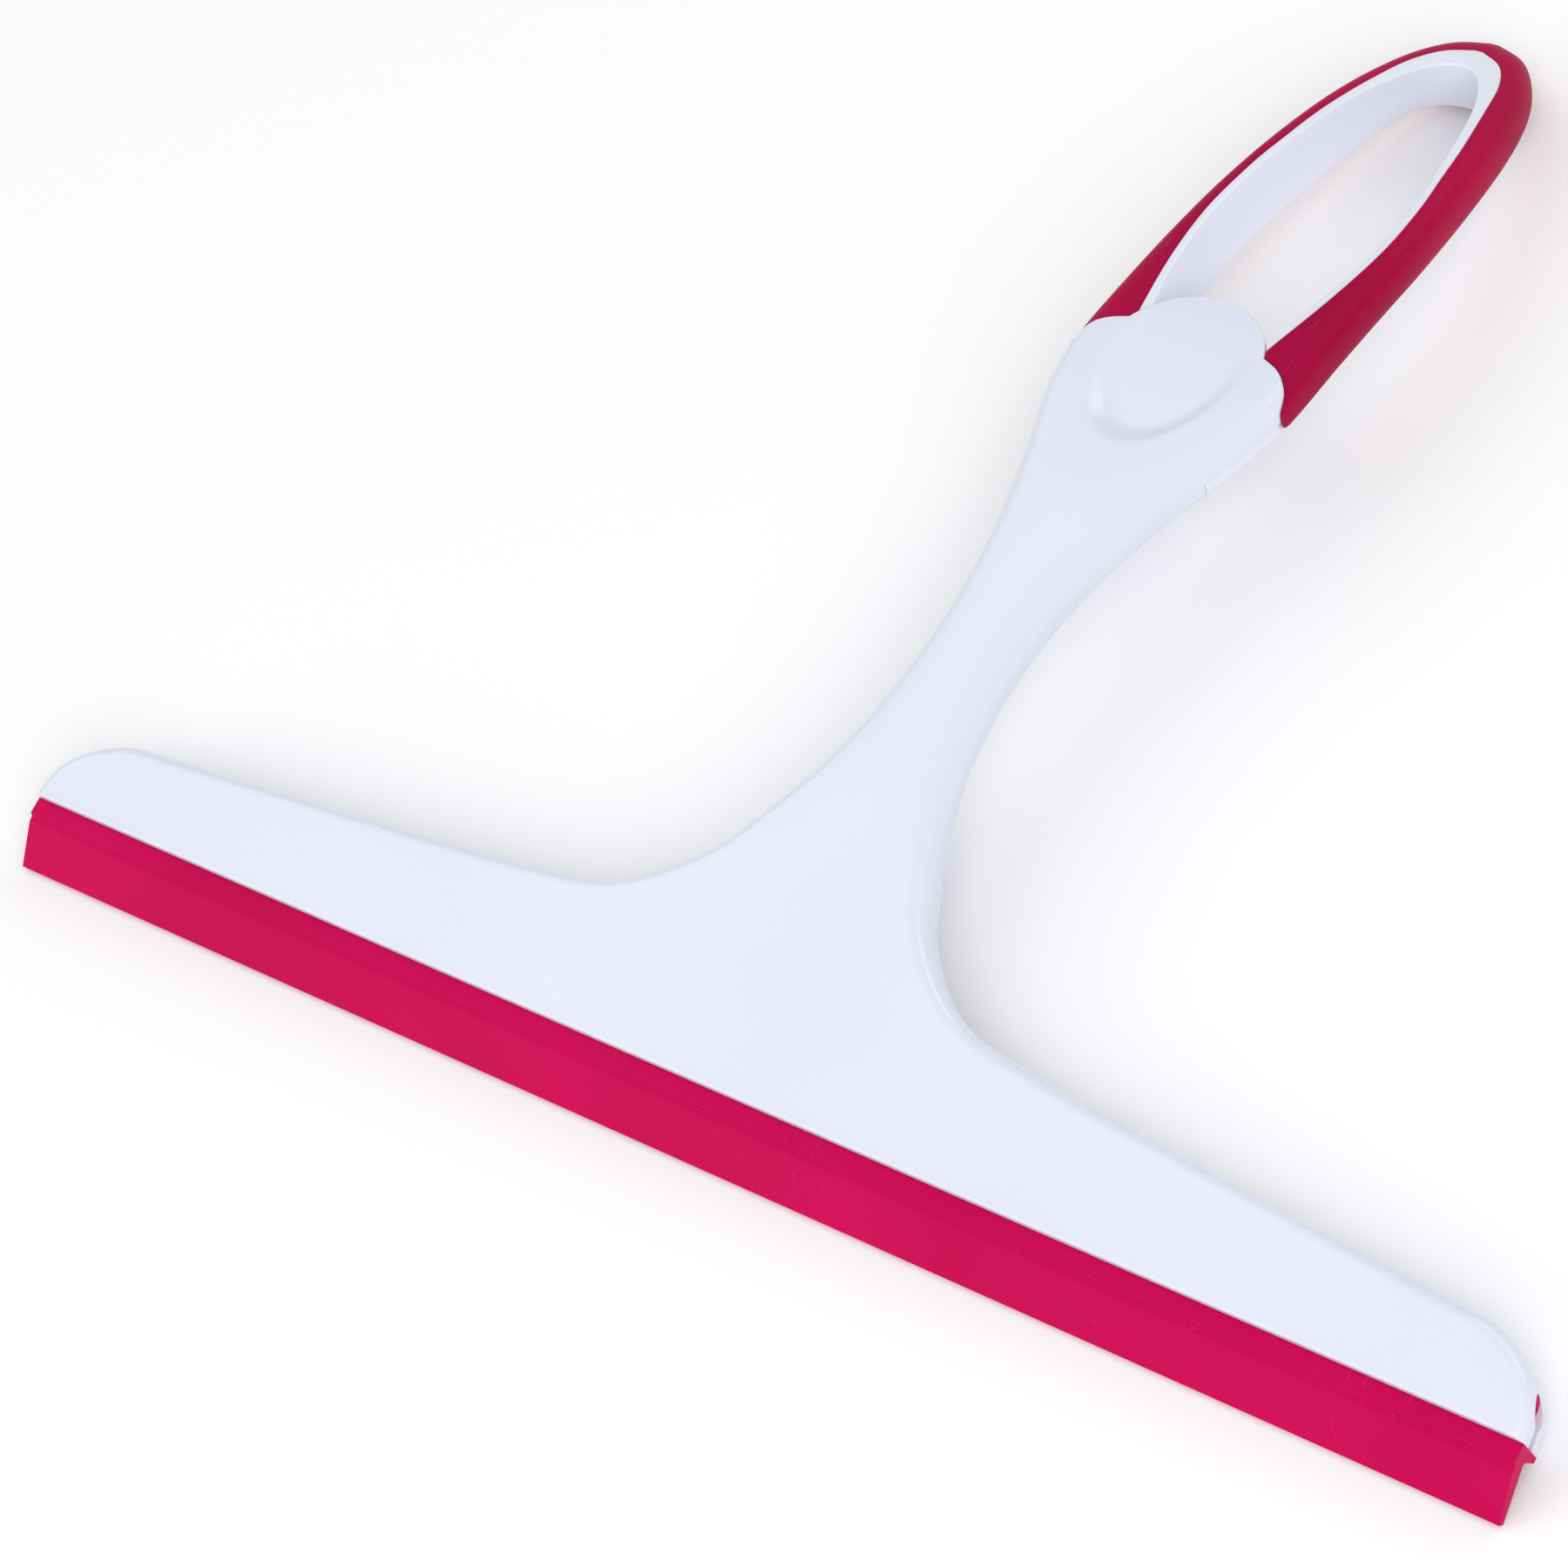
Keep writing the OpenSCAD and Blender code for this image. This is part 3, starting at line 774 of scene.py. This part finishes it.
web_meet = bead_s - math.sqrt(bead_round ** 2 - web_half ** 2)
bead_from = math.atan2(web_half, web_meet - bead_s)
bead_arc = [((bead_s + bead_round * math.cos(a), bead_round * math.sin(a)), 0)
            for a in np.linspace(bead_from, -bead_from, 30)]
blade_corners = [
    ((-touch, -web_half), 0.1), ((-touch, -shoulder_face), 0.08), ((-0.75, -shoulder_face), 0.2),
    (lip_bend - lip_up * lip_root / 2 - lip_way * 0.4, 0.6),
    (wiping_edge - lip_up * lip_edge / 2, 0.06), (wiping_edge + lip_up * lip_edge / 2, 0.06),
    (lip_bend + lip_up * lip_root / 2 + lip_way * 0.5, 0.35), ((-2.62, 2.02), 0.25),
    ((-2.55, shoulder_face), 0.4), ((-touch, shoulder_face), 0.08), ((-touch, web_half), 0.1)]
blade_section = split_long(filleted(bead_arc + blade_corners), longest_face)


def extrusion_tree():
    """Draws a flat section out along x, with closed ends."""
    tree = bpy.data.node_groups.new("rubber_extrusion", "GeometryNodeTree")
    face = tree.interface
    face.new_socket("Geometry", in_out="INPUT", socket_type="NodeSocketGeometry")
    face.new_socket("Length", in_out="INPUT", socket_type="NodeSocketFloat")
    face.new_socket("Stations", in_out="INPUT", socket_type="NodeSocketInt")
    face.new_socket("Material", in_out="INPUT", socket_type="NodeSocketMaterial")
    face.new_socket("Geometry", in_out="OUTPUT", socket_type="NodeSocketGeometry")
    add, link = tree.nodes.new, tree.links.new
    given, result = add("NodeGroupInput"), add("NodeGroupOutput")
    rail, spaced = add("GeometryNodeCurvePrimitiveLine"), add("GeometryNodeResampleCurve")
    for name, share in (("Start", -0.5), ("End", 0.5)):
        end = add("ShaderNodeVectorMath")
        end.operation = "SCALE"
        end.inputs[0].default_value = (share, 0, 0)
        link(given.outputs["Length"], end.inputs["Scale"])
        link(end.outputs[0], rail.inputs[name])
    link(rail.outputs[0], spaced.inputs["Curve"])
    link(given.outputs["Stations"], spaced.inputs["Count"])
    section, drawn = add("GeometryNodeMeshToCurve"), add("GeometryNodeCurveToMesh")
    link(given.outputs["Geometry"], section.inputs[0])
    link(spaced.outputs[0], drawn.inputs["Curve"])
    link(section.outputs[0], drawn.inputs["Profile Curve"])
    drawn.inputs["Fill Caps"].default_value = True
    real, finish = add("GeometryNodeRealizeInstances"), add("GeometryNodeSetMaterial")
    link(drawn.outputs[0], real.inputs[0])
    link(real.outputs[0], finish.inputs["Geometry"])
    link(given.outputs["Material"], finish.inputs["Material"])
    link(finish.outputs[0], result.inputs[0])
    return tree


def section_object(name, section):
    """A closed line as a mesh with edges only, in the plane and the turn that the extrusion reads."""
    mesh = bpy.data.meshes.new(name)
    count = len(section)
    edges = [(i, (i + 1) % count) for i in range(count)]
    mesh.from_pydata([(-s * MM, -n * MM, 0) for s, n in section[::-1]], edges, [])
    piece = bpy.data.objects.new(name, mesh)
    bpy.context.scene.collection.objects.link(piece)
    return piece


blade_rose = rose_rubber("blade_rose_rubber", (0.58, 0.0008, 0.085), (0.50, 0.0004, 0.07), 0.40, 2200.0, True)
blade = section_object("blade_extrusion", blade_section)
baked(blade, extrusion_tree(),
      {"Length": 2 * half_length * MM, "Stations": blade_stations, "Material": blade_rose})
for end in (-1, 1):
    trim = np.array([(end * x, y) for x, y in ((bead_half, -touch / 2), (half_length + 1, -touch / 2),
                                               (half_length + 1, 8), (bead_half, 8))])
    merged(blade, stacked_loops("bead_trim", [(trim, -4.0), (trim, 4.0)], closed=False), "DIFFERENCE")
on_the_arch(blade, blade_rose, 35)


def laid(s, n):
    """A point of the head at rest, in metres."""
    return Matrix.Rotation(rest_tilt, 3, "X") @ Vector((0, s, n)) * MM + seat


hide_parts("blade_root", "blade_lip")
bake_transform(blade)


# ---------------------------------------------------- floor, lights and camera
# A plain pale table top under soft studio boxes. Not part of the squeegee.

table_half = 3.0


def pale_floor():
    """A smooth pale sheet with a hardly visible drift in tone."""
    material, tree, shader, where = new_material("pale_floor")
    drift = use_group(tree, tone_drift, where, Scale=3.0)["Drift"]
    pale = blend_colour(tree, drift, (0.92, 0.92, 0.925), (0.91, 0.91, 0.915))
    tree.links.new(pale, shader.inputs["Base Color"])
    shader.inputs["Roughness"].default_value = 0.75
    return material


floor_side = table_half / MM
floor = new_mesh("floor", [(-floor_side, -floor_side, 0), (floor_side, -floor_side, 0),
                           (floor_side, floor_side, 0), (-floor_side, floor_side, 0)], [(0, 1, 2, 3)])
floor.data.materials.append(pale_floor())


def soft_box(name, place, aim, width, height, power, colour=(1, 1, 1)):
    """A rectangular area lamp aimed at a point."""
    lamp = bpy.data.lights.new(name, "AREA")
    lamp.shape, lamp.size, lamp.size_y = "RECTANGLE", width, height
    lamp.energy, lamp.color = power, colour
    box = bpy.data.objects.new(name, lamp)
    bpy.context.scene.collection.objects.link(box)
    box.location = place
    box.rotation_mode = "QUATERNION"
    box.rotation_quaternion = (Vector(aim) - Vector(place)).to_track_quat("-Z", "Y")


middle = (cad_low + cad_high) / 2
soft_box("key_box", (0.75, -0.65, 0.85), middle, 0.9, 0.9, 8.6)
soft_box("fill_box", (-0.7, 0.1, 0.9), middle, 0.9, 0.9, 2.0)
soft_box("front_box", (-0.7, -0.95, 0.5), middle, 0.9, 0.5, 2.4)
soft_box("back_box", (0.2, 0.9, 0.6), middle, 0.8, 0.4, 2.2)

world = bpy.data.worlds.new("studio")
bpy.context.scene.world = world
world.use_nodes = True
world.node_tree.nodes["Background"].inputs["Color"].default_value = (0.97, 0.98, 1.0, 1)
world.node_tree.nodes["Background"].inputs["Strength"].default_value = 0.58
bpy.context.scene.view_settings.view_transform = "Standard"

camera_aim = Vector((-0.01427, -0.05517, 0.015))
camera_distance, camera_lens = 0.6719, 118.2
camera_azimuth, camera_height, camera_roll = map(math.radians, (-53.06, 47.72, -23.198))
looking = Vector((math.sin(camera_azimuth) * math.cos(camera_height),
                  math.cos(camera_azimuth) * math.cos(camera_height), -math.sin(camera_height)))
level = looking.cross(Vector((0, 0, 1))).normalized()
upright = level.cross(looking)
right = level * math.cos(camera_roll) + upright * math.sin(camera_roll)
up = right.cross(looking)
lens = bpy.data.cameras.new("camera")
lens.lens, lens.sensor_width, lens.clip_start = camera_lens, 36, 0.01
camera = bpy.data.objects.new("camera", lens)
bpy.context.scene.collection.objects.link(camera)
camera.matrix_world = Matrix.Translation(camera_aim - looking * camera_distance) @ Matrix(
    (right, up, -looking)).transposed().to_4x4()
bpy.context.scene.camera = camera
